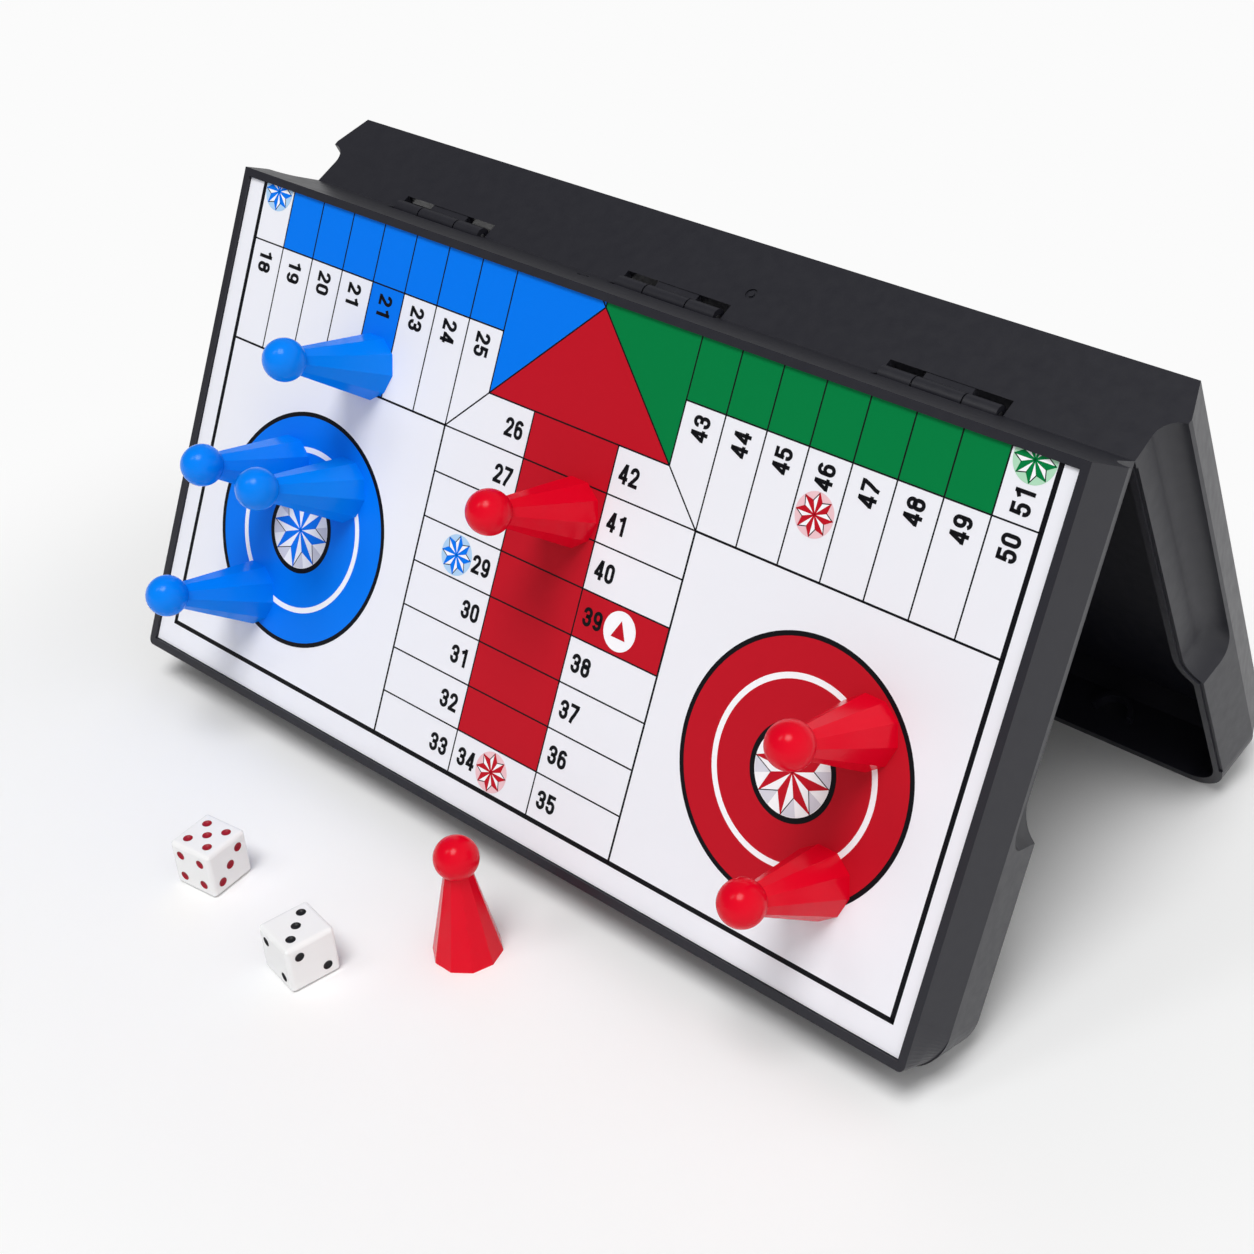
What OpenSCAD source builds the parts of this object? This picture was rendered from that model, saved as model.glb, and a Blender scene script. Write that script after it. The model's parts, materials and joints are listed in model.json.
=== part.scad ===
// Folding magnetic ludo set: two shallow trays hinged along one long side, printed board outside,
// standing half open like a tent, with seven pawns on the board and one pawn and two dice beside it.
// X runs along the hinge, +Z is up. The origin is on the ground at the centre of all the pieces.
// One tray is drawn with its open side down: hinge axis on the X axis, body towards +Y, board face up.

/* [Board box] */
// Length of the board face along the hinge
board_len = 200; // [170:1:240]
// Width of one board half from the hinge wall to the far side, on the board face
half_w = 104; // [90:1:125]
// Depth of one tray from the rim to the top of its board face lip
tray_h = 18.4; // [15:0.2:22]
// Wall thickness of the mouldings
wall = 2; // [1.6:0.1:2.4]
// Angle between the two halves as the box stands
open_angle = 51.2; // [35:0.1:70]

/* [Board face] */
// Width of the raised lip round the printed sheet
lip_w = 1.6; // [1.2:0.1:2.4]
// Height of the lip above the printed sheet
lip_proud = 0.6; // [0.3:0.1:1]
// Thickness of the printed sheet
print_t = 0.2; // [0.1:0.05:0.4]
// Thickness of the steel sheet under the print
steel_t = 0.3; // [0.2:0.05:0.6]
// Thickness of the moulded plate that carries the sheets
plate_t = 1.6; // [1.2:0.1:2.4]
// Gap round the sheets in their recess
sheet_gap = 0.15; // [0.05:0.05:0.3]

/* [Walls] */
// How far the walls stand out past the board face at their crest
flare = 2.6; // [1:0.1:4]
// Depth of the crest below the lip
crest_z = 7.6; // [5:0.1:9]
// How far the full walls draw back in from the crest to the rim
draft = 0.8; // [0.2:0.1:1.5]
// Radius of the far corners in plan
corner_r = 7; // [4:0.5:12]
// Depth of the finger groove behind the crest
groove_d = 4.2; // [2:0.1:5]
// Distance from the hinge wall to where the groove starts to close
groove_len = 58.5; // [40:0.5:75]
// Radius in plan of the groove's scooped end
scoop_r = 7.5; // [6:0.5:12]
// Width of the recessed band along the outside of the back tray's rim
band_w = 0.7; // [0.5:0.1:1]
// Depth of that band
band_h = 0.4; // [0.2:0.1:0.6]

/* [Hinge] */
// Length of the notches in the hinge wall at the rim
notch_len = 25.2; // [20:0.2:32]
// Height of the notches
notch_h = 3.4; // [3:0.1:5]
// Distance of the outer notches from the middle one
notch_pitch = 61; // [45:1:75]
// Radius of the hinge knuckles
knuckle_r = 1.7; // [1.4:0.05:2]
// Radius of the steel hinge pins
pin_r = 0.6; // [0.5:0.05:0.8]
// Running clearance round the pins in the turning knuckles
pin_gap = 0.05; // [0.02:0.01:0.1]
// Width of the middle knuckle, on the back tray
mid_knuckle = 10; // [6:0.5:12]
// Width of each outer knuckle, on the front tray
side_knuckle = 6.8; // [4:0.2:8]
// End gap between neighbouring knuckles
knuckle_gap = 0.3; // [0.2:0.05:0.5]

/* [Mould marks] */
// Radius of the gate mark on each hinge wall
gate_r = 1.2; // [0.8:0.1:2]

/* [Far wall ribs] */
// Distance of the arched ribs from the middle of the far side
rib_x = 73; // [25:1:85]
// Radius of an arched rib
rib_r = 4.5; // [3:0.5:6]

/* [Pawns] */
// Width of a pawn's base across its corners
pawn_d = 13.1; // [10:0.1:15]
// Height of a pawn
pawn_h = 26; // [20:0.5:32]
// Diameter of a pawn's head
head_d = 8.3; // [6:0.1:10]
// Width of the neck just below the head
neck_d = 5.1; // [4:0.1:6]
// Number of flats round a pawn's body
pawn_sides = 10; // [8:1:12]
// Diameter of the magnet in a pawn's base
magnet_d = 6; // [5:0.1:8]
// Thickness of that magnet
magnet_t = 2; // [1:0.1:3]
// Gap round the magnet in its pocket
magnet_gap = 0.05; // [0:0.01:0.1]

/* [Dice] */
// Edge length of a die
die_s = 10; // [8:0.5:13]
// Radius of a die's rounded edges
die_round = 0.9; // [0.5:0.1:2]
// Radius of a pip
pip_r = 0.95; // [0.6:0.05:1.1]
// Depth of a pip
pip_deep = 0.45; // [0.2:0.05:0.6]

/* [Hidden] */

// Places of the pawns on the front board: distance right of the middle, distance from the hinge wall
BLUE_LANE = [-53.5, 29];
BLUE_HOME_LEFT = [-70, 54.8];
BLUE_HOME_RIGHT = [-53.5, 54.3];
BLUE_HOME_LOW = [-72.4, 82.6];
RED_LANE = [4.3, 39.7];
RED_HOME_HIGH = [75.3, 54.1];
RED_HOME_LOW = [74.7, 81.4];
// Places on the ground, from the point below the hinge axis, and the turn of each piece
LOOSE_PAWN = [15.2, -78.6];
DIE_RED = [-37.6, -94.6];
DIE_RED_TURN = 7;
DIE_BLACK = [-4.9, -100.4];
DIE_BLACK_TURN = -10;

// Overrun of the cutting bodies, and the facets of pips and of everything else round
CUT = 1;
PIP_FN = 32;
ROUND_FN = 48;
NOTCHES = [-notch_pitch, 0, notch_pitch];
// Smallest plan radius of a far corner
EDGE_R = 0.5;
// Drop of the finger groove and of the arched ribs below the crest
CREST_DROP = 1;
// How far the space inside draws in from the crest to the plate
CORE_DRAW = 1;
// Wall and length of an arched rib
RIB_W = 1;
RIB_LONG = 1.4;
// Reach of a knuckle's web above the knuckle, and its setback from the hinge wall's face
WEB_RISE = 0.6;
WEB_SETBACK = 0.15;
// How far a pawn's body runs on into its head
NECK_IN = 0.4;
// Places of the gate marks along each hinge wall and above its rim, and their depth
FRONT_GATE = [16.6, 5.6];
BACK_GATE = [14.7, 7.1];
GATE_DEEP = 0.3;

tilt = (180 - open_angle) / 2;
print_top = tray_h - lip_proud;
steel_top = print_top - print_t;
plate_top = steel_top - steel_t;
plate_under = plate_top - plate_t;
crest_level = tray_h - crest_z;
rim_out = flare - draft;
axis_h = (half_w + rim_out) * sin(tilt);
groove_top = crest_level - CREST_DROP;
groove_floor = board_len / 2 + flare - groove_d;
knuckle_span = mid_knuckle + 2 * (side_knuckle + knuckle_gap);
// The two ends of all the pieces along Y, for the origin in the middle
back_end = half_w * cos(tilt) + tray_h * sin(tilt);
die_core = die_s / 2 - die_round;
front_end = DIE_BLACK[1] - die_core * (cos(DIE_BLACK_TURN) - sin(DIE_BLACK_TURN)) - die_round;
mid_y = (back_end + front_end) / 2;

// Frames: where each body stands
module on_ground() translate([0, -mid_y, 0]) children();
module back_half() on_ground() translate([0, 0, axis_h]) rotate([-tilt, 0, 0]) children();
module front_half() on_ground() translate([0, 0, axis_h]) rotate([tilt, 0, 0]) rotate([0, 0, 180]) children();
module on_front_board(place) front_half() translate([-place[0], place[1], print_top]) children();
module on_floor(place, turn) on_ground() translate([place[0], place[1], 0]) rotate([0, 0, turn])
    children();

// Plan outline of a tray, grown on its three free sides, with round far corners
module plan(grow, inset = 0) {
    w = board_len + 2 * grow;
    far = half_w + grow - inset;
    r = max(corner_r + grow, EDGE_R);
    translate([-w / 2, 0]) square([w, far - r]);
    translate([-w / 2 + r, 0]) square([w - 2 * r, far]);
    for (side = [-1, 1]) translate([side * (w / 2 - r), far - r]) circle(r = r, $fn = ROUND_FN);
}

// Body between two levels, tapering from one growth to the other, its near side kept flat
module taper(low, grow_low, high, grow_high, inset = 0) translate([0, inset, low])
    linear_extrude(high - low, scale = [(board_len / 2 + grow_high) / (board_len / 2 + grow_low),
        (half_w + grow_high - inset) / (half_w + grow_low - inset)]) plan(grow_low, inset);

// Section of the finger groove as a distance from its outer end, grown by the wall behind it
module groove_section(grow) {
    run = scoop_r - groove_d;
    shoulder = groove_top - groove_d;
    translate([0, -CUT]) square([scoop_r + grow, shoulder + CUT]);
    translate([0, -CUT]) square([run, groove_top + grow + CUT]);
    intersection() {
        translate([run, shoulder]) circle(r = groove_d + grow, $fn = ROUND_FN * 2);
        translate([0, shoulder - CUT]) square([scoop_r + grow, tray_h]);
    }
}

// One finger groove at the +X end: a straight run from the hinge wall and a scooped end
module groove(grow) translate([groove_floor + scoop_r, groove_len, 0]) mirror([1, 0, 0]) {
    rotate([90, 0, 0]) linear_extrude(groove_len + CUT) groove_section(grow);
    rotate_extrude(angle = 90, $fn = ROUND_FN * 2) groove_section(grow);
}

module both_ends() for (side = [0, 1]) mirror([side, 0, 0]) children();

// Outer form of a tray
module tray_form() {
    taper(crest_level, flare, tray_h, 0);
    taper(0, rim_out, crest_level, flare);
}

// Space inside a tray, open at the rim
module tray_space() {
    taper(-CUT, rim_out - wall, crest_level, flare - wall, wall);
    taper(crest_level, flare - wall, plate_under, flare - wall - CORE_DRAW, wall);
}

module hinge_notch() translate([-notch_len / 2, -CUT, -CUT])
    cube([notch_len, wall + 2 * CUT, notch_h + CUT]);

// Recessed band along the ends of a rim, following the finger grooves; the far rim stays whole to stand on
module rim_band() {
    difference() {
        translate([-board_len, wall, -CUT]) cube([2 * board_len, half_w - corner_r - wall, band_h + CUT]);
        translate([0, 0, -2 * CUT]) linear_extrude(band_h + 3 * CUT) plan(rim_out - band_w);
    }
    both_ends() intersection() {
        groove(band_w);
        translate([0, wall, -CUT]) cube([board_len, half_w, band_h + CUT]);
    }
}

// A hinge knuckle with its web up to the wall above the notch
module knuckle(width) translate([-width / 2, 0, 0]) rotate([90, 0, 90]) linear_extrude(width) {
    web_top = notch_h + CUT;
    circle(r = knuckle_r, $fn = ROUND_FN);
    polygon([[0, 0], [knuckle_r, 0], [wall, knuckle_r + WEB_RISE], [wall, web_top],
        [WEB_SETBACK, web_top], [WEB_SETBACK, knuckle_r]]);
}

module pin_bore(r, width) rotate([0, 90, 0])
    cylinder(r = r, h = width + 2 * CUT, center = true, $fn = ROUND_FN);

// Round mark left by the moulding gate on a hinge wall: a shallow dish with a nub in it
module gate_mark(place) translate([place[0], 0, place[1]]) rotate([90, 0, 0]) difference() {
    cylinder(r = gate_r, h = 2 * GATE_DEEP, center = true, $fn = ROUND_FN);
    cylinder(r = gate_r / 2, h = 3 * GATE_DEEP, center = true, $fn = ROUND_FN);
}

// Arched rib on the inside of the far wall, open towards the rim
module far_rib()
    translate([rib_x, half_w + rim_out - wall + RIB_LONG / 2, crest_level - rib_r - CREST_DROP])
    rotate([90, 0, 0]) linear_extrude(2 * RIB_LONG) difference() {
        circle(r = rib_r, $fn = ROUND_FN);
        circle(r = rib_r - RIB_W, $fn = ROUND_FN);
        translate([-2 * rib_r, -2 * rib_r]) square([4 * rib_r, 2 * rib_r]);
    }

// The moulded tray without its knuckles
module tray_shell() difference() {
    union() {
        difference() {
            tray_form();
            tray_space();
        }
        both_ends() far_rib();
        both_ends() intersection() {
            groove(wall);
            tray_form();
        }
    }
    both_ends() groove(0);
    translate([0, 0, plate_top]) linear_extrude(tray_h) sheet_outline(0);
    for (x = NOTCHES) translate([x, 0, 0]) hinge_notch();
}

// Outline of the recess for the sheets; a negative growth gives the sheets themselves
module sheet_outline(grow) {
    w = board_len - 2 * lip_w + 2 * grow;
    d = half_w - 2 * lip_w + 2 * grow;
    translate([-w / 2, lip_w - grow]) square([w, d]);
}

module front_tray() color("#26262a") front_half() difference() {
    union() {
        tray_shell();
        for (x = NOTCHES, side = [-1, 1])
            translate([x + side * (mid_knuckle + side_knuckle + 2 * knuckle_gap) / 2, 0, 0])
                knuckle(side_knuckle);
    }
    for (x = NOTCHES) translate([x, 0, 0]) pin_bore(pin_r, knuckle_span);
    gate_mark(FRONT_GATE);
}

module back_tray() color("#26262a") back_half() difference() {
    union() {
        tray_shell();
        for (x = NOTCHES) translate([x, 0, 0]) knuckle(mid_knuckle);
    }
    for (x = NOTCHES) translate([x, 0, 0]) pin_bore(pin_r + pin_gap, mid_knuckle);
    rim_band();
    gate_mark(BACK_GATE);
}

module hinge_pin(x) color("silver") on_ground() translate([x, 0, axis_h]) rotate([0, 90, 0])
    cylinder(r = pin_r, h = knuckle_span, center = true, $fn = ROUND_FN);

module steel_sheet() translate([0, 0, plate_top]) linear_extrude(steel_t) sheet_outline(-sheet_gap);
module board_print() translate([0, 0, steel_top]) linear_extrude(print_t) sheet_outline(-sheet_gap);

module front_steel_sheet() color("#9a9ca0") front_half() steel_sheet();
module back_steel_sheet() color("#9a9ca0") back_half() steel_sheet();
module front_board_print() color("#f0f0f6") front_half() board_print();
module back_board_print() color("#f0f0f6") back_half() board_print();

// A pawn: ball head on a many-sided tapering body, with a magnet pocket in its base
module pawn() difference() {
    neck_z = pawn_h - head_d / 2 - sqrt(pow(head_d / 2, 2) - pow(neck_d / 2, 2));
    union() {
        translate([0, 0, pawn_h - head_d / 2]) sphere(d = head_d, $fn = ROUND_FN);
        cylinder(d1 = pawn_d, d2 = neck_d, h = neck_z + NECK_IN, $fn = pawn_sides);
    }
    translate([0, 0, -CUT]) cylinder(d = magnet_d + 2 * magnet_gap, h = magnet_t + magnet_gap + CUT,
        $fn = ROUND_FN);
}

module magnet() cylinder(d = magnet_d, h = magnet_t, $fn = ROUND_FN);

module board_pawn(place, paint) color(paint) on_front_board(place) pawn();
module board_magnet(place) color("silver") on_front_board(place) magnet();

module blue_pawn_lane() board_pawn(BLUE_LANE, "#0064f0");
module blue_pawn_home_left() board_pawn(BLUE_HOME_LEFT, "#0064f0");
module blue_pawn_home_right() board_pawn(BLUE_HOME_RIGHT, "#0064f0");
module blue_pawn_home_low() board_pawn(BLUE_HOME_LOW, "#0064f0");
module red_pawn_lane() board_pawn(RED_LANE, "#e6001e");
module red_pawn_home_high() board_pawn(RED_HOME_HIGH, "#e6001e");
module red_pawn_home_low() board_pawn(RED_HOME_LOW, "#e6001e");
module red_pawn_loose() color("#e6001e") on_floor(LOOSE_PAWN, 0) pawn();
module blue_magnet_lane() board_magnet(BLUE_LANE);
module blue_magnet_home_left() board_magnet(BLUE_HOME_LEFT);
module blue_magnet_home_right() board_magnet(BLUE_HOME_RIGHT);
module blue_magnet_home_low() board_magnet(BLUE_HOME_LOW);
module red_magnet_lane() board_magnet(RED_LANE);
module red_magnet_home_high() board_magnet(RED_HOME_HIGH);
module red_magnet_home_low() board_magnet(RED_HOME_LOW);
module red_magnet_loose() color("silver") on_floor(LOOSE_PAWN, 0) magnet();

// Pip places on a face, in steps from the middle, for each count
function pips(n) = concat(
    n % 2 == 1 ? [[0, 0]] : [],
    n > 1 ? [[-1, -1], [1, 1]] : [],
    n > 3 ? [[-1, 1], [1, -1]] : [],
    n == 6 ? [[-1, 0], [1, 0]] : []);

// Turns that bring the top face to the top, front, right, left, back and under face of a die
FACE_TURNS = [[0, 0, 0], [90, 0, 0], [0, 90, 0], [0, -90, 0], [-90, 0, 0], [180, 0, 0]];

module rounded_square() {
    square([die_s, 2 * die_core], center = true);
    square([2 * die_core, die_s], center = true);
    for (x = [-die_core, die_core], y = [-die_core, die_core])
        translate([x, y]) circle(r = die_round, $fn = ROUND_FN);
}

// A cube with round edges and eased corners
module rounded_cube() intersection() {
    linear_extrude(die_s, center = true) rounded_square();
    rotate([90, 0, 0]) linear_extrude(die_s, center = true) rounded_square();
    rotate([0, 90, 0]) linear_extrude(die_s, center = true) rounded_square();
    sphere(r = die_core * sqrt(3) + die_round, $fn = ROUND_FN);
}

// A die with round edges; for each face, its count of pips and a turn of their pattern
module die(counts, spins) translate([0, 0, die_s / 2]) difference() {
    ball_r = (pow(pip_r, 2) + pow(pip_deep, 2)) / (2 * pip_deep);
    rounded_cube();
    for (i = [0 : 5]) rotate(FACE_TURNS[i]) rotate([0, 0, spins[i]]) for (at = pips(counts[i]))
        translate([at[0], at[1], 0] * die_s / 4 + [0, 0, die_s / 2 - pip_deep + ball_r])
            sphere(r = ball_r, $fn = PIP_FN);
}

module die_red_pips() color("white") on_floor(DIE_RED, DIE_RED_TURN)
    die([5, 4, 3, 6, 1, 2], [0, 0, 90, 0, 0, 0]);
module die_black_pips() color("white") on_floor(DIE_BLACK, DIE_BLACK_TURN)
    die([3, 2, 2, 5, 5, 4], [90, 90, 0, 0, 0, 0]);

front_tray();
back_tray();
front_steel_sheet();
back_steel_sheet();
front_board_print();
back_board_print();
hinge_pin(-notch_pitch);  // hinge_pin_left
hinge_pin(0);  // hinge_pin_middle
hinge_pin(notch_pitch);  // hinge_pin_right
blue_pawn_lane();
blue_pawn_home_left();
blue_pawn_home_right();
blue_pawn_home_low();
red_pawn_lane();
red_pawn_home_high();
red_pawn_home_low();
red_pawn_loose();
blue_magnet_lane();
blue_magnet_home_left();
blue_magnet_home_right();
blue_magnet_home_low();
red_magnet_lane();
red_magnet_home_high();
red_magnet_home_low();
red_magnet_loose();
die_red_pips();
die_black_pips();
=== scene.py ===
"""Looks for the folding ludo board: artwork, corner pieces, pips, finishes, floor, light and camera."""
import json
import math

import bmesh
import bpy
from mathutils import Matrix, Vector


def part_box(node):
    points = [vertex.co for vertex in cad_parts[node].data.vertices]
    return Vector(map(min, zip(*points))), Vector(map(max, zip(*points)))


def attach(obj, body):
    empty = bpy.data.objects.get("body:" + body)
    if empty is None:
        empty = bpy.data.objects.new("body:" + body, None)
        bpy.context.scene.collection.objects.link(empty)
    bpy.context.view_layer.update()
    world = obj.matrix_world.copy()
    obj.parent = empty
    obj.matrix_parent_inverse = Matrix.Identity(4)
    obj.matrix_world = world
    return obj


MM = 0.001
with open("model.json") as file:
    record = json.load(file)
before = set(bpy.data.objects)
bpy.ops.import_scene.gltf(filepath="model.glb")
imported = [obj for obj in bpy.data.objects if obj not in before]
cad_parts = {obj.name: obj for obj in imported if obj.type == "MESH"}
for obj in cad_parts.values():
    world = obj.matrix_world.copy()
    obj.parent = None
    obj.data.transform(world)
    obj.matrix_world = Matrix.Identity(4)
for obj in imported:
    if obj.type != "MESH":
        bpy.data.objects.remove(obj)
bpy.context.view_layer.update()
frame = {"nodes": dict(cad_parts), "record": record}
nodes = frame["nodes"]
joints = {j["name"]: j for j in frame["record"]["behaviour"]["joints"]}

# The hinge line's middle and the front board's outward direction, in the frame
HINGE = Vector(joints["fold"]["pos_m"])
FRONT_NORMAL = Vector(joints["lift_red_pawn_lane"]["axis"]).normalized()


def half_axes(side):
    """A half's directions seen from outside: right, up to the fold, out. side is 1 in front, -1 behind."""
    right = Vector((side, 0, 0))
    out = Vector((0, FRONT_NORMAL.y * side, FRONT_NORMAL.z))
    return right, out.cross(right), out


def axes_matrix(right, up, out, origin):
    """From places along three directions to the frame."""
    matrix = Matrix.Identity(4)
    for i, column in enumerate((right, up, out, origin)):
        matrix.col[i].xyz = column
    return matrix


def extent(node, direction):
    """How far a node reaches from the hinge line in a direction, in millimetres."""
    return max((v.co - HINGE).dot(direction) for v in nodes[node].data.vertices) / MM


# How high the print and the lip stand over the hinge line, how far the crest reaches along the hinge and
# away from it, and the lip's width, in millimetres
FRONT_RIGHT, FRONT_UP, FRONT_OUT = half_axes(1)
PRINT_LEVEL = extent("front_board_print", FRONT_OUT)
TRAY_TOP = extent("front_tray", FRONT_OUT)
CREST = (extent("front_tray", FRONT_RIGHT), extent("front_tray", -FRONT_UP))
LIP = 1.6


# Materials
def set_inputs(node, **values):
    """Sets a shader node's inputs by name, with an underscore for each space, and returns the node."""
    for key, value in values.items():
        node.inputs[key.replace("_", " ")].default_value = value
    return node


def add_node(tree, kind, **values):
    return set_inputs(tree.nodes.new("ShaderNode" + kind), **values)


def node_material(name, colour, roughness, **values):
    material = bpy.data.materials.new(name)
    material.use_nodes = True
    tree = material.node_tree
    shader = tree.nodes["Principled BSDF"]
    set_inputs(shader, Base_Color=(*colour, 1), Roughness=roughness, **values)
    return material, tree, shader


def add_grain(tree, shader, scale, strength, depth, roughness, detail=4.0):
    """Fine surface grain from object coordinates, which also moves the roughness between two values."""
    coords = add_node(tree, "TexCoord")
    noise = add_node(tree, "TexNoise", Scale=scale, Detail=detail)
    bump = add_node(tree, "Bump", Strength=strength, Distance=depth)
    ramp = add_node(tree, "MapRange", To_Min=roughness[0], To_Max=roughness[1])
    tree.links.new(coords.outputs["Object"], noise.inputs["Vector"])
    tree.links.new(noise.outputs["Fac"], bump.inputs["Height"])
    tree.links.new(bump.outputs["Normal"], shader.inputs["Normal"])
    tree.links.new(noise.outputs["Fac"], ramp.inputs["Value"])
    tree.links.new(ramp.outputs["Result"], shader.inputs["Roughness"])


def tray_plastic():
    material, tree, shader = node_material("moulded_black_plastic", (0.01, 0.01, 0.016), 0.42)
    add_grain(tree, shader, scale=420.0, strength=0.16, depth=0.00012, roughness=(0.34, 0.5))
    return material


def gloss_plastic(name, colour, roughness=0.2, specular=0.25):
    material, tree, shader = node_material(name, colour, roughness, Specular_IOR_Level=specular)
    span = (roughness * 0.85, roughness * 1.2)
    add_grain(tree, shader, scale=130.0, strength=0.05, depth=0.0002, roughness=span, detail=2.0)
    return material


def print_ink(name, colour, roughness=0.38):
    material, tree, shader = node_material(name, colour, roughness, Specular_IOR_Level=0.08)
    span = (roughness - 0.05, roughness + 0.08)
    add_grain(tree, shader, scale=55.0, strength=0.06, depth=0.0004, roughness=span, detail=3.0)
    return material


def metal(name, colour, roughness, scale):
    material, tree, shader = node_material(name, colour, roughness, Metallic=1.0)
    span = (roughness - 0.06, roughness + 0.1)
    add_grain(tree, shader, scale=scale, strength=0.1, depth=0.0001, roughness=span)
    return material


INK = {
    "white": print_ink("ink_white", (0.84, 0.845, 0.895)),
    "black": print_ink("ink_black", (0.006, 0.006, 0.008)),
    "blue": print_ink("ink_blue", (0.0, 0.18, 0.84)),
    "red": print_ink("ink_red", (0.5, 0.007, 0.018)),
    "green": print_ink("ink_green", (0.0, 0.195, 0.048)),
    "yellow": print_ink("ink_yellow", (0.86, 0.55, 0.0)),
    "pale_blue": print_ink("ink_pale_blue", (0.42, 0.63, 0.87)),
    "pale_red": print_ink("ink_pale_red", (0.83, 0.54, 0.58)),
    "pale_green": print_ink("ink_pale_green", (0.42, 0.7, 0.5)),
    "pale_yellow": print_ink("ink_pale_yellow", (0.88, 0.76, 0.4)),
    "lilac": print_ink("ink_lilac", (0.66, 0.66, 0.74)),
    "bright": print_ink("ink_bright", (0.92, 0.92, 0.95)),
}
BLACK_PLASTIC = tray_plastic()
BLUE_PLASTIC = gloss_plastic("pawn_blue_plastic", (0.0, 0.215, 0.88), specular=0.13)
RED_PLASTIC = gloss_plastic("pawn_red_plastic", (0.72, 0.001, 0.016), specular=0.13)
WHITE_PLASTIC = gloss_plastic("die_white_plastic", (0.87, 0.87, 0.87), 0.22, 0.4)
PIP_RED = gloss_plastic("pip_red_paint", (0.33, 0.006, 0.02), 0.35)
PIP_BLACK = gloss_plastic("pip_black_paint", (0.01, 0.01, 0.012), 0.35)
SHEET_STEEL = metal("sheet_steel_metal", (0.55, 0.55, 0.57), 0.35, 300.0)
PIN_STEEL = metal("pin_steel_metal", (0.62, 0.62, 0.64), 0.28, 900.0)
FERRITE = gloss_plastic("magnet_ferrite_grey", (0.05, 0.05, 0.055), 0.55, 0.5)

# A node takes the material of the first word that its name holds
NODE_MATERIALS = {
    "tray": BLACK_PLASTIC,
    "steel_sheet": SHEET_STEEL,
    "board_print": INK["white"],
    "hinge_pin": PIN_STEEL,
    "magnet": FERRITE,
    "blue_pawn": BLUE_PLASTIC,
    "red_pawn": RED_PLASTIC,
    "die_": WHITE_PLASTIC,
}


def dress_nodes():
    for name, obj in nodes.items():
        obj.data.materials.clear()
        obj.data.materials.append(next(NODE_MATERIALS[word] for word in NODE_MATERIALS if word in name))


# Outlines and meshes, in millimetres until they become vertices
ROUND_STEPS = 96


def polar(centre, r, angle):
    """The point at a distance and an angle in degrees from a centre."""
    t = math.radians(angle)
    return centre[0] + r * math.cos(t), centre[1] + r * math.sin(t)


def arc(centre, r, start=0.0, end=360.0, steps=ROUND_STEPS):
    """Points on an arc, with steps for a whole turn, which doesn't repeat its first point."""
    whole = abs(end - start) >= 360
    count = steps if whole else max(2, round(steps * abs(end - start) / 360))
    points = [polar(centre, r, start + (end - start) * i / count) for i in range(count + 1)]
    return points[:-1] if whole else points


def rectangle(x0, y0, x1, y1):
    return [(x0, y0), (x1, y0), (x1, y1), (x0, y1)]


def stroke(start, end, width):
    """A straight line of the given width as a rectangle, half the width longer at each end."""
    start, end = Vector(start), Vector(end)
    along = (end - start).normalized() * width / 2
    side = Vector((-along.y, along.x))
    corners = (start - along - side, end + along - side, end + along + side, start - along + side)
    return [tuple(p) for p in corners]


def turned(points, angle):
    c, s = math.cos(math.radians(angle)), math.sin(math.radians(angle))
    return [(c * x - s * y, s * x + c * y) for x, y in points]


def add_loop(bm, points):
    return [bm.verts.new(Vector(p) * MM) for p in points]


def join_loops(bm, loops, caps):
    """Joins loops of vertices, each to the next, and closes those given as caps."""
    for here, there in zip(loops, loops[1:]):
        for i in range(len(here)):
            k = (i + 1) % len(here)
            bm.faces.new((here[i], there[i], there[k], here[k]))
    for cap in caps:
        bm.faces.new(cap)


def add_piece(name, bm, matrix, material, body):
    """A finished mesh as a piece of the object, placed by the matrix."""
    bmesh.ops.recalc_face_normals(bm, faces=bm.faces)
    mesh = bpy.data.meshes.new(name)
    bm.to_mesh(mesh)
    bm.free()
    mesh.transform(matrix)
    mesh.materials.append(material)
    obj = bpy.data.objects.new(name, mesh)
    bpy.context.scene.collection.objects.link(obj)
    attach(obj, body)


# Printed plates: each starts BURY inside the sheet and ends a number of steps over it
FOLD = 0.0
TINY = 1e-6
BURY = 0.008
STEP = 0.012
LEVELS = {"area": 1, "line": 2, "disc": 3, "shade": 4, "star": 5, "edge": 6, "text": 4}


def clip_to_half(points):
    """The part of a polygon that lies below the fold."""
    kept = []
    for (x0, y0), (x1, y1) in zip(points, points[1:] + points[:1]):
        if y0 <= FOLD:
            kept.append((x0, y0))
        if (y0 - FOLD) * (y1 - FOLD) < 0:
            t = (FOLD - y0) / (y1 - y0)
            kept.append((x0 + t * (x1 - x0), FOLD))
    return kept if len(kept) > 2 and min(y for _, y in kept) < FOLD - TINY else []


def add_plate(bm, points, level):
    low, high = (add_loop(bm, [(x, y, z) for x, y in points]) for z in (-BURY, STEP * LEVELS[level]))
    join_loops(bm, (low, high), (low, high))


# The printed track: arms of three columns and eight rows round a middle square, repeated in four colours.
# Each arm is drawn pointing down from the middle of the board, then turned
CELL = 9.0
LANE = 20.9
ROWS = 8
CORE = 1.5 * LANE
HOME_TRIANGLE = CORE - CELL
REACH = CORE + (ROWS - 1) * CELL
START_ROW = 3
START_DISC_R = 3.7
ARROW_HALF = 1.7
ARROW_FOOT = 1.35
ARROW_POINT = 2.0

# Where the middle of the artwork lies on the front half, from the middle of its edge at the fold
ART_X = 0.7
ART_Y = -1.0

LINE_W = 0.3
ARM_LINE_W = 0.42
BORDER_W = 0.95
STAR_LINE = 0.17

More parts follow.
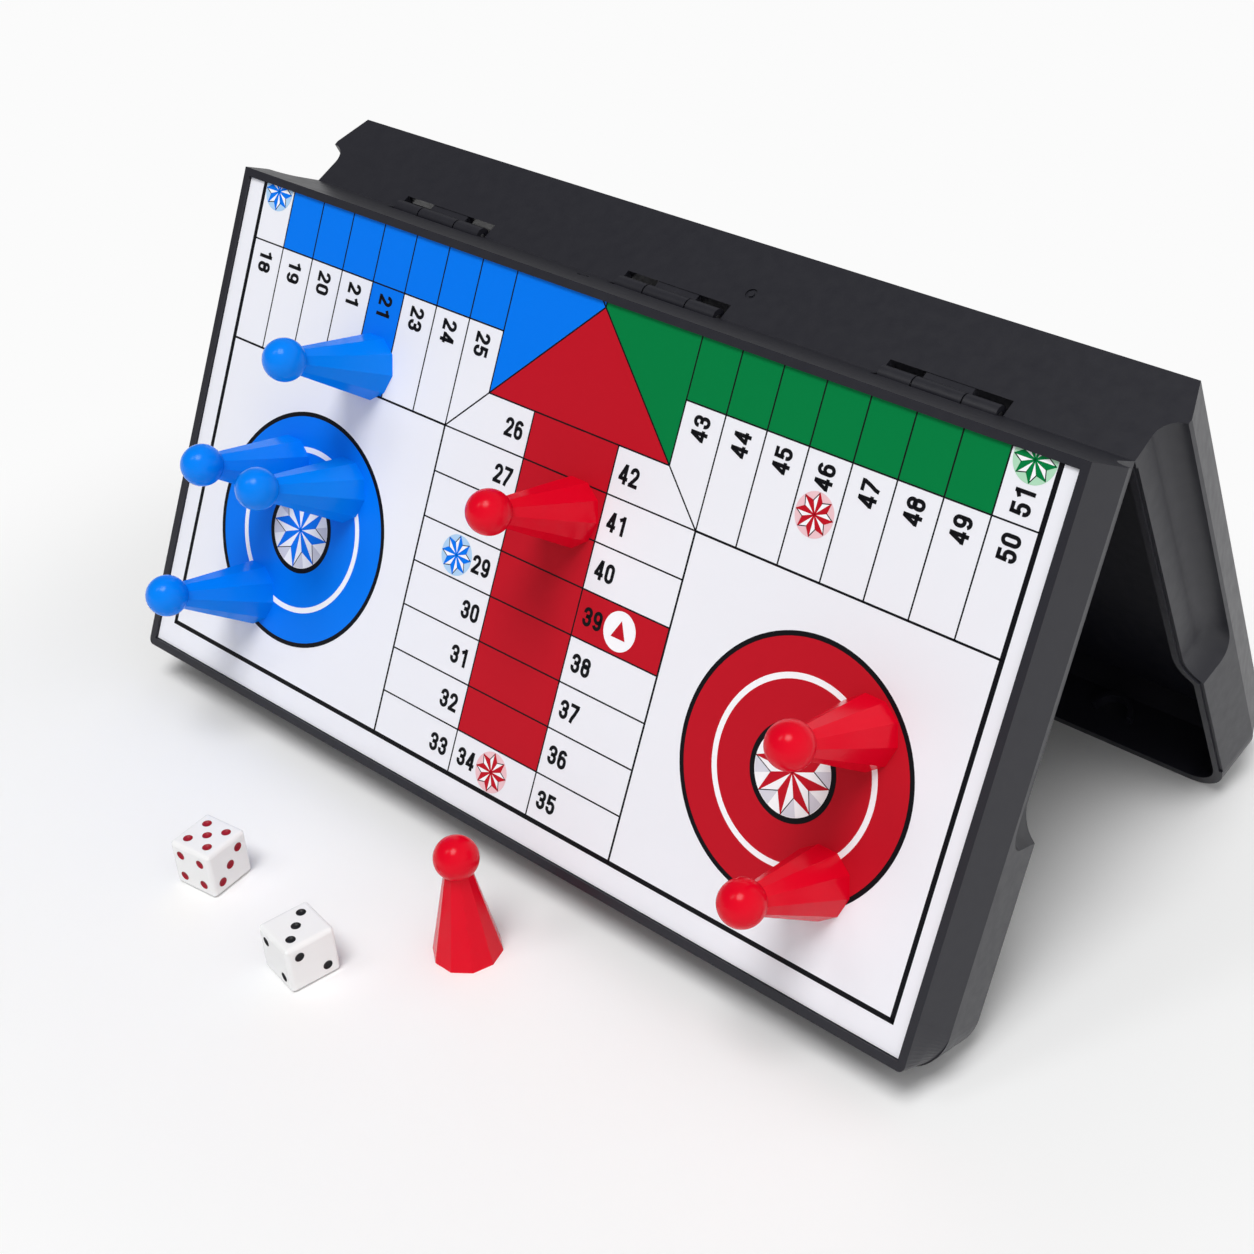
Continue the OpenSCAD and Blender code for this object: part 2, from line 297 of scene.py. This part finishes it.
# Numbers: a digit's height, its other sizes as shares of that, the step in degrees along its curves, the
# limit that keeps a sharp corner short, and how far centres lie from the lane's edge, outward and inward
DIGIT_H = 3.65
DIGIT_W = 0.56
DIGIT_GAP = 0.11
DIGIT_STROKE = 0.185
BOW_STEP = 15
SHARPEST_MITRE = 0.5
NUMBER_FROM_LANE = 3.9
MIDDLE_NUMBER_IN = 3.7

# Stars: the radius, the valleys and the bright disc as shares of it, and the share of a gap that is pale
STAR_POINTS = 8
SMALL_STAR = {"r": 3.75, "valley": 0.65, "rim": 1.05, "wedge": 1}
HOME_STAR = {"r": 7.7, "valley": 0.57, "rim": 1.0, "wedge": 0.5}

# Round homes: HOME_AT is the centre of the one to the right of an arm
HOME_AT = (63.3, -63.2)
HOME_R = 23.4
HOME_LINE = 0.9
HOME_RING_R = 16.3
HOME_RING_W = 1.1
HOME_EYE_R = 8.3
HOME_EYE_LINE = 1.0

# For each arm, by its turn: its colour, then the first number of its left column, the one at the end of
# the middle column, and the first of the right column, which counts inward
LANE_COLOURS = {0: "red", 90: "green", 180: "yellow", 270: "blue"}
FIRST_NUMBERS = {0: (26, 34, 35), 90: (43, 51, 52), 180: (60, 68, 1), 270: (9, 17, 18)}

# As printed: 21 stands in the place of 22 too, and one start cell has no disc
REPEATED = {22: "21"}
PLAIN_START = 270


def bow(cy, ry, start, end):
    """An arc across the full width of a digit, in shares of the digit's height."""
    steps = max(3, round(abs(end - start) / BOW_STEP))
    rx = (DIGIT_W - DIGIT_STROKE) / 2
    angles = [math.radians(start + (end - start) * i / steps) for i in range(steps + 1)]
    return [(DIGIT_W / 2 + rx * math.cos(t), cy + ry * math.sin(t)) for t in angles]


def upside_down(path):
    return [(DIGIT_W - x, 1 - y) for x, y in path]


def make_digits():
    """Centre lines of the bold digits, in shares of their height: the open paths, then the closed ones."""
    left, right, mid = DIGIT_STROKE / 2, DIGIT_W - DIGIT_STROKE / 2, DIGIT_W / 2
    foot, head = DIGIT_STROKE / 2, 1 - DIGIT_STROKE / 2
    stem, post = mid + 0.08, right - 0.08
    bowl = bow(0.3, 0.2, 0, -180) + [(left, 0.35)]
    loop = bow(0.39, 0.2, 0, 180) + bow(0.3, 0.2, 180, 360)
    six_arm = bow(0.7, 0.2, 20, 180) + [(left, 0.3)]
    two_slope = [(right - 0.03, 0.56), (left + 0.04, 0.16), (left + 0.02, foot)]
    two = [(left, 0.64)] + bow(0.7, 0.2, 180, -10) + two_slope
    three_top = [(left, 0.66)] + bow(0.71, 0.19, 180, 0) + bow(0.68, 0.17, 0, -90) + [(mid - 0.1, 0.51)]
    three_foot = [(mid - 0.1, 0.53)] + bow(0.34, 0.19, 90, 0) + bowl
    five_foot = [(left, 0.5)] + bow(0.42, 0.18, 130, 0) + bowl
    seven = [(right, head), (right, 0.84), (mid + 0.06, 0.5), (mid - 0.08, 0.2), (mid - 0.12, 0)]
    open_paths = {
        "1": [[(stem, 0), (stem, 1)], [(0.09, 0.74), (stem, 0.88)]],
        "2": [two, [(0, foot), (DIGIT_W, foot)]],
        "3": [three_top, three_foot],
        "4": [[(post, 0), (post, 1)], [(right - 0.1, 0.96), (left, 0.3)], [(0, 0.28), (DIGIT_W, 0.28)]],
        "5": [[(DIGIT_W - 0.04, head), (left, head)], [(left + 0.03, 1), (left + 0.01, 0.46)], five_foot],
        "6": [six_arm],
        "7": [[(0, head), (DIGIT_W, head)], seven],
        "9": [upside_down(six_arm)],
    }
    closed_paths = {
        "0": [bow(0.7, 0.2, 0, 180) + bow(0.3, 0.2, 180, 360)],
        "6": [loop],
        "8": [bow(0.71, 0.19, 0, 180) + bow(0.7, 0.18, 180, 360), loop],
        "9": [upside_down(loop)],
    }
    return open_paths, closed_paths


OPEN_PATHS, CLOSED_PATHS = make_digits()


class Artwork:
    """Everything printed on one half, gathered by ink and level."""

    def __init__(self, name, side, quarter):
        right, up, out = half_axes(side)
        self.name = name
        self.matrix = axes_matrix(right, up, out, HINGE + (out * PRINT_LEVEL - up * LIP) * MM)
        self.quarter = quarter
        self.meshes = {}

    def bm(self, ink, level):
        """The mesh that gathers one ink on one level."""
        key = (ink, level)
        if key not in self.meshes:
            self.meshes[key] = bmesh.new()
        return self.meshes[key]

    def shift(self, points, turn):
        """Points of an arm's drawing, turned to the arm's place and moved to this half."""
        shift_x = ART_X if self.quarter == 0 else -ART_X
        return [(x + shift_x, y + ART_Y) for x, y in turned(points, turn - self.quarter)]

    def fill(self, ink, level, points, turn):
        placed = clip_to_half(self.shift(points, turn))
        if placed:
            add_plate(self.bm(ink, level), placed, level)

    def line(self, start, end, turn, width=LINE_W):
        self.fill("black", "line", stroke(start, end, width), turn)

    def ring(self, ink, level, centre, r, width, turn):
        """A flat ring of short pieces, so that the fold can clip it."""
        for i in range(ROUND_STEPS):
            angles = (360 * i / ROUND_STEPS, 360 * (i + 1) / ROUND_STEPS)
            outer = [polar(centre, r + width / 2, angle) for angle in angles]
            inner = [polar(centre, r - width / 2, angle) for angle in reversed(angles)]
            self.fill(ink, level, outer + inner, turn)

    def disc(self, ink, level, centre, r, turn):
        self.fill(ink, level, arc(centre, r), turn)

    def star(self, centre, ink, pale, turn, r, valley, rim, wedge):
        """Points that are half coloured and half bright, with pale wedges between them, on a bright disc."""
        spacing = 360 / STAR_POINTS
        self.disc("bright", "disc", centre, r * rim, turn)
        for k in range(STAR_POINTS):
            angle = spacing * k
            tip = polar(centre, r, angle)
            low, high = (polar(centre, r * valley, angle + side * spacing / 2) for side in (-1, 1))
            shade = [high, tip] + arc(centre, r * rim, angle, angle + spacing * wedge, 360)
            if wedge == 1:
                shade.append(polar(centre, r, angle + spacing))
            self.fill(pale, "shade", shade, turn)
            self.fill(ink, "star", [centre, low, tip], turn)
            self.fill("bright", "star", [centre, tip, high], turn)
            edges = ((centre, tip, ink), (low, tip, ink), (high, tip, "black"), (centre, high, ink))
            for start, end, edge_ink in edges:
                self.fill(edge_ink, "edge", stroke(start, end, STAR_LINE), turn)

    def ribbon(self, path, width, turn, closed):
        """A black band of one width along a path, its corners mitred."""
        path = [Vector(p) for p in self.shift(path, turn)]
        bm = self.bm("black", "text")
        top = STEP * LEVELS["text"]
        count = len(path)
        loops = []
        for i, p in enumerate(path):
            before = path[i - 1] if closed or i else p
            after = path[(i + 1) % count] if closed or i + 1 < count else p
            arriving = (p - before if p != before else after - p).normalized()
            leaving = (after - p).normalized() if p != after else arriving
            side = Vector((-arriving.y, arriving.x))
            mitre = (side + Vector((-leaving.y, leaving.x))).normalized()
            mitre *= width / 2 / max(SHARPEST_MITRE, mitre.dot(side))
            corners = ((p + mitre, top), (p - mitre, top), (p - mitre, -BURY), (p + mitre, -BURY))
            loops.append(add_loop(bm, [(q.x, q.y, z) for q, z in corners]))
        if closed:
            join_loops(bm, loops + loops[:1], ())
        else:
            join_loops(bm, loops, (loops[0], loops[-1]))

    def number(self, text, centre, turn):
        total = len(text) * DIGIT_W + (len(text) - 1) * DIGIT_GAP
        for i, digit in enumerate(text):
            x0 = centre[0] + (i * (DIGIT_W + DIGIT_GAP) - total / 2) * DIGIT_H
            for paths, closed in ((OPEN_PATHS, False), (CLOSED_PATHS, True)):
                for path in paths.get(digit, ()):
                    moved = [(x0 + x * DIGIT_H, centre[1] + (y - 0.5) * DIGIT_H) for x, y in path]
                    self.ribbon(moved, DIGIT_STROKE * DIGIT_H, turn, closed)

    def make(self, body):
        for (ink, level), bm in self.meshes.items():
            add_piece(f"{self.name}_{ink}_{level}", bm, self.matrix, INK[ink], body)


def row_centre(row):
    """Distance from the middle of the board to the centre of a row, counted from the middle outward."""
    return HOME_TRIANGLE + (row + 0.5) * CELL


def draw_arm(art, turn):
    """One arm: its share of the middle, its lane and start cell, the cell lines, the numbers and two stars."""
    half, low = LANE / 2, -REACH
    ink = LANE_COLOURS[turn]
    start_y = -row_centre(START_ROW)
    art.fill(ink, "area", [(0, 0), (-HOME_TRIANGLE, -HOME_TRIANGLE), (HOME_TRIANGLE, -HOME_TRIANGLE)], turn)
    art.fill(ink, "area", rectangle(-half, low + CELL, half, -HOME_TRIANGLE), turn)
    art.fill(ink, "area", rectangle(half, start_y - CELL / 2, CORE, start_y + CELL / 2), turn)
    for x in (-half, half):
        art.line((x, low), (x, -HOME_TRIANGLE), turn)
    for x in (-CORE, CORE):
        art.line((x, low), (x, -CORE), turn, ARM_LINE_W)
    for row in range(1, ROWS):
        art.line((-CORE, low + row * CELL), (CORE, low + row * CELL), turn)
    art.line((-HOME_TRIANGLE, -HOME_TRIANGLE), (HOME_TRIANGLE, -HOME_TRIANGLE), turn)
    art.line((0, 0), (-CORE, -CORE), turn)
    draw_arm_numbers(art, turn)
    draw_small_star(art, ink, (0, -row_centre(ROWS - 1)), turn)
    draw_small_star(art, LANE_COLOURS[(turn - 90) % 360], (-LANE, start_y), turn)
    if turn != PLAIN_START:
        art.disc("bright", "disc", (LANE, start_y), START_DISC_R, turn)
        corners = ((-ARROW_HALF, -ARROW_FOOT), (ARROW_HALF, -ARROW_FOOT), (0, ARROW_POINT))
        art.fill(ink, "star", [(LANE + x, start_y + y) for x, y in corners], turn)


def draw_arm_numbers(art, turn):
    """Numbers outward along the left column, at the end of the middle one and back along the right one."""
    left_first, middle, right_first = FIRST_NUMBERS[turn]
    x = LANE / 2 + NUMBER_FROM_LANE
    for row in range(ROWS):
        draw_number(art, left_first + row, (-x, -row_centre(row)), turn)
        draw_number(art, right_first + row, (x, -row_centre(ROWS - 1 - row)), turn)
    draw_number(art, middle, (MIDDLE_NUMBER_IN - LANE / 2, -row_centre(ROWS - 1)), turn)


def draw_number(art, number, centre, turn):
    """A number is printed whole on the half where its centre lies."""
    if art.shift([centre], turn)[0][1] < FOLD:
        art.number(REPEATED.get(number, str(number)), centre, turn)


def draw_small_star(art, ink, centre, turn):
    art.star(centre, ink, "pale_" + ink, turn, **SMALL_STAR)


def draw_home(art, turn):
    """The round home between this arm and the next one."""
    ink = LANE_COLOURS[turn]
    centre = HOME_AT if turn % 180 == 0 else (-HOME_AT[1], -HOME_AT[0])
    art.disc(ink, "area", centre, HOME_R, turn)
    art.ring("black", "line", centre, HOME_R, HOME_LINE, turn)
    art.ring("bright", "line", centre, HOME_RING_R, HOME_RING_W, turn)
    art.disc("bright", "line", centre, HOME_EYE_R, turn)
    art.ring("black", "disc", centre, HOME_EYE_R, HOME_EYE_LINE, turn)
    art.star(centre, ink, "lilac", turn, **HOME_STAR)


def draw_apex(art, quarter):
    """The two side colours meet above the point of the middle one, up to the fold."""
    high = 2 * abs(ART_Y)
    for side in (-1, 1):
        ink = LANE_COLOURS[(quarter + 90 * side) % 360]
        art.fill(ink, "area", [(0, 0), (0, high), (side * high, high)][::side], quarter)
    art.line((0, 0), (0, high), quarter)


def print_half(name, side, body, quarter):
    """The artwork of one half. quarter is the turn of its own arm; the arms beside it show in half."""
    art = Artwork(name, side, quarter)
    arms = [turn for turn in LANE_COLOURS if (turn - quarter) % 360 != 180]
    for turn in arms:
        draw_arm(art, turn)
    for turn in ((quarter + 270) % 360, quarter):
        draw_home(art, turn)
    for turn in arms:
        art.line((-REACH, -REACH), (REACH, -REACH), turn, BORDER_W)
    draw_apex(art, quarter)
    art.make(body)


# Corner pieces: the board face has nearly square far corners, which run out into the round crest below.
# Places are in millimetres along the hinge from its middle, away from it, and out of the board. A piece
# stands PROUD of the tray, ends INNER_LIFT over the crest on its inner side, and follows the face's straight
# sides for FACE_STRAIGHT of its length at each end
FACE = (100.0, 104.0)
FACE_R = 1.2
CREST_R = 9.6
CREST_LEVEL = 10.8
CORNER_FROM = [far - CREST_R for far in FACE]
INNER_LIFT = 1.0
PROUD = 0.015
CORNER_STEPS = 24
FACE_STRAIGHT = 0.4


def round_corner(t, centre, r, straight):
    """The point at t, from 0 to 1, on an outline that runs straight, round an arc and straight again."""
    if straight < t < 1 - straight:
        return polar(centre, r, 90 * (t - straight) / (1 - 2 * straight))
    k = min(t, 1 - t) / straight
    if t <= 0.5:
        return centre[0] + r, CORNER_FROM[1] + (centre[1] - CORNER_FROM[1]) * k
    return CORNER_FROM[0] + (centre[0] - CORNER_FROM[0]) * k, centre[1] + r


def corner_section(t):
    """A closed section of one far corner at t: the recess, over the lip, out to the crest, back inside."""
    into = round_corner(t, [far - LIP for far in FACE], 0, 0.5)
    lip = round_corner(t, [far - FACE_R for far in FACE], FACE_R + PROUD, FACE_STRAIGHT)
    crest = (*polar([far - CREST_R for far in CREST], CREST_R + PROUD, 90 * t), CREST_LEVEL)
    wall = [(p + q) / 2 for p, q in zip((*lip, TRAY_TOP), crest)]
    top = TRAY_TOP + PROUD
    return (*into, top), (*lip, top), wall, crest, (*into, CREST_LEVEL + INNER_LIFT)


def make_corners(name, side, body):
    bm = bmesh.new()
    sections = [corner_section(i / CORNER_STEPS) for i in range(CORNER_STEPS + 1)]
    for mirror in (-1, 1):
        loops = [add_loop(bm, [(mirror * x, -y, z) for x, y, z in section]) for section in sections]
        join_loops(bm, loops, (loops[0], loops[-1]))
    add_piece(name, bm, axes_matrix(*half_axes(side), HINGE), BLACK_PLASTIC, body)


# Pips: painted cups in the dimples of each die, in millimetres from its centre.
# Each face has its turns about X, Y and Z from the upper face
PIP_FACES = ((0, 0, 0), (90, 0, 0), (0, 90, 0), (0, -90, 0), (-90, 0, 0), (180, 0, 0))
PIP_R = 0.95
PIP_DEEP = 0.45
PIP_BALL = (PIP_R ** 2 + PIP_DEEP ** 2) / (2 * PIP_DEEP)
PIP_LIFT = PIP_BALL - PIP_DEEP
PIP_SKIN = 0.02
PIP_RINGS = 6
PIP_STEPS = 24


def pip_places(count):
    """Where the pips of a face lie, in steps of a quarter of the die."""
    places = [(0, 0)] if count % 2 else []
    places += [(-1, -1), (1, 1)] if count > 1 else []
    places += [(-1, 1), (1, -1)] if count > 3 else []
    places += [(-1, 0), (1, 0)] if count == 6 else []
    return places


def add_pip(bm, spin, centre):
    """A cup that lines a dimple: the foot of a ball centred over the upper face, spun to its own face."""
    ball = PIP_BALL - PIP_SKIN
    rim = math.acos(PIP_LIFT / ball)
    loops = []
    for i in range(1, PIP_RINGS + 1):
        t = rim * i / PIP_RINGS
        z = centre.z - ball * math.cos(t)
        outline = arc(centre, ball * math.sin(t), steps=PIP_STEPS)
        loops.append(add_loop(bm, [spin @ Vector((x, y, z)) for x, y in outline]))
    join_loops(bm, loops, (loops[0],))


def make_pips(name, node, turn, counts, spins, body, material):
    """counts and spins give each face's number of pips and its turn about its own middle."""
    low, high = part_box(node)
    die = (high.z - low.z) / MM
    bm = bmesh.new()
    for face, count, own in zip(PIP_FACES, counts, spins):
        spin = Matrix.Rotation(math.radians(own), 4, "Z")
        for axis, angle in zip("XYZ", face):
            spin = Matrix.Rotation(math.radians(angle), 4, axis) @ spin
        for px, py in pip_places(count):
            add_pip(bm, spin, Vector((px * die / 4, py * die / 4, die / 2 + PIP_LIFT)))
    place = Matrix.Translation((low + high) / 2) @ Matrix.Rotation(math.radians(turn), 4, "Z")
    add_piece(name, bm, place, material, body)


# Camera: its lens and optical centre in pixels of the picture, and its place from HINGE in metres
FOCAL_PX = 2018.0
FRAME_PX = 1254.0
CENTRE_PX = (727.0, 600.0)
SENSOR = 36.0
CAMERA_FROM_HINGE = Vector((0.23028, -0.25221, 0.16034))
LOOK = Vector((-0.54453, 0.62971, -0.55402)).normalized()
CAMERA_RIGHT = Vector((0.76694, 0.64123, -0.02497)).normalized()


def add_camera():
    data = bpy.data.cameras.new("camera")
    data.sensor_width = SENSOR
    data.lens = FOCAL_PX / FRAME_PX * SENSOR
    data.shift_x = (FRAME_PX / 2 - CENTRE_PX[0]) / FRAME_PX
    data.shift_y = (CENTRE_PX[1] - FRAME_PX / 2) / FRAME_PX
    data.clip_start = 0.01
    data.clip_end = 20
    camera = bpy.data.objects.new("camera", data)
    up = CAMERA_RIGHT.cross(LOOK)
    camera.matrix_world = axes_matrix(CAMERA_RIGHT, up, -LOOK, HINGE + CAMERA_FROM_HINGE)
    bpy.context.scene.collection.objects.link(camera)
    bpy.context.scene.camera = camera


# Lights: a wide sun, nearly overhead, and a soft box above the front left
KEY_DIRECTION = Vector((-0.12, 0.35, -1.0))
KEY_STRENGTH = 1.9
KEY_ANGLE = 26
SOFTBOX_AT = Vector((-0.5, -0.9, 1.3))
SOFTBOX_TARGET = Vector((0, 0, 0.05))
SOFTBOX_SIZE = (0.25, 0.5)
SOFTBOX_POWER = 2.0


def add_lamp(name, kind, strength, direction):
    lamp = bpy.data.objects.new(name, bpy.data.lights.new(name, kind))
    lamp.data.energy = strength
    lamp.rotation_euler = direction.to_track_quat("-Z", "Y").to_euler()
    bpy.context.scene.collection.objects.link(lamp)
    return lamp


def add_lights():
    key = add_lamp("key", "SUN", KEY_STRENGTH, KEY_DIRECTION)
    key.data.angle = math.radians(KEY_ANGLE)
    softbox = add_lamp("softbox", "AREA", SOFTBOX_POWER, SOFTBOX_TARGET - SOFTBOX_AT)
    softbox.location = SOFTBOX_AT
    softbox.data.shape = "RECTANGLE"
    softbox.data.size, softbox.data.size_y = SOFTBOX_SIZE


# Floor: the matt part is an ellipse of these half sizes in metres, and the lit part takes over between
# GLOW_FROM and GLOW_FULL times as far out
FLOOR_SIZE = 8.0
FLOOR_DROP = 0.00002
FLOOR_GLOW = 0.965
FLOOR_ALBEDO = 0.9
NEAR_X = 0.15
NEAR_Y = 0.125
GLOW_FROM = 0.9
GLOW_FULL = 1.4


def add_floor():
    """Matt white near the object, where its shadow lies, turning into an evenly lit white further out."""
    bpy.ops.mesh.primitive_plane_add(size=FLOOR_SIZE, location=(0, 0, -FLOOR_DROP))
    floor = bpy.context.object
    floor.name = "floor"
    material, tree, shader = node_material("floor_white", (1, 1, 1), 0.8, Specular_IOR_Level=0.0,
                                           Emission_Color=(1, 1, 1, 1))
    coords = add_node(tree, "TexCoord")
    mapping = add_node(tree, "Mapping", Scale=(1 / NEAR_X, 1 / NEAR_Y, 0))
    length = add_node(tree, "VectorMath")
    length.operation = "LENGTH"
    tree.links.new(coords.outputs["Object"], mapping.inputs["Vector"])
    tree.links.new(mapping.outputs["Vector"], length.inputs[0])
    for socket, near, far in (("Emission Strength", 0, FLOOR_GLOW), ("Base Color", FLOOR_ALBEDO, 0)):
        ramp = add_node(tree, "MapRange", From_Min=GLOW_FROM, From_Max=GLOW_FULL, To_Min=near, To_Max=far)
        ramp.interpolation_type = "SMOOTHSTEP"
        tree.links.new(length.outputs["Value"], ramp.inputs["Value"])
        tree.links.new(ramp.outputs["Result"], shader.inputs[socket])
    floor.data.materials.append(material)


# Surroundings: brightest low on the right for what they light, and as white as the floor for the camera
BRIGHT_SIDE = (0.75, 0.25, -0.6)
SKY_LOW = 0.12
SKY_HIGH = 1.1


def add_world():
    world = bpy.data.worlds.new("world")
    world.use_nodes = True
    tree = world.node_tree
    background = set_inputs(tree.nodes["Background"], Strength=1.0)
    coords = add_node(tree, "TexCoord")
    along = add_node(tree, "VectorMath")
    along.operation = "DOT_PRODUCT"
    along.inputs[1].default_value = BRIGHT_SIDE
    ramp = add_node(tree, "MapRange", From_Min=-1, To_Min=SKY_LOW, To_Max=SKY_HIGH)
    ray = add_node(tree, "LightPath")
    seen = add_node(tree, "Mix", B=FLOOR_GLOW)
    tree.links.new(coords.outputs["Generated"], along.inputs[0])
    tree.links.new(along.outputs["Value"], ramp.inputs["Value"])
    tree.links.new(ray.outputs["Is Camera Ray"], seen.inputs["Factor"])
    tree.links.new(ramp.outputs["Result"], seen.inputs["A"])
    tree.links.new(seen.outputs["Result"], background.inputs["Color"])
    bpy.context.scene.world = world


dress_nodes()
print_half("front_art", 1, "front_half", 0)
print_half("back_art", -1, "back_half", 180)
make_corners("front_corners", 1, "front_half")
make_corners("back_corners", -1, "back_half")
make_pips("pips_red", "die_red_pips", turn=7, counts=(5, 4, 3, 6, 1, 2), spins=(0, 0, 90, 0, 0, 0),
          body="red_pip_die_piece", material=PIP_RED)
make_pips("pips_black", "die_black_pips", turn=-10, counts=(3, 2, 2, 5, 5, 4), spins=(90, 90, 0, 0, 0, 0),
          body="black_pip_die_piece", material=PIP_BLACK)
add_camera()
add_floor()
add_world()
add_lights()
bpy.context.scene.view_settings.view_transform = "Standard"
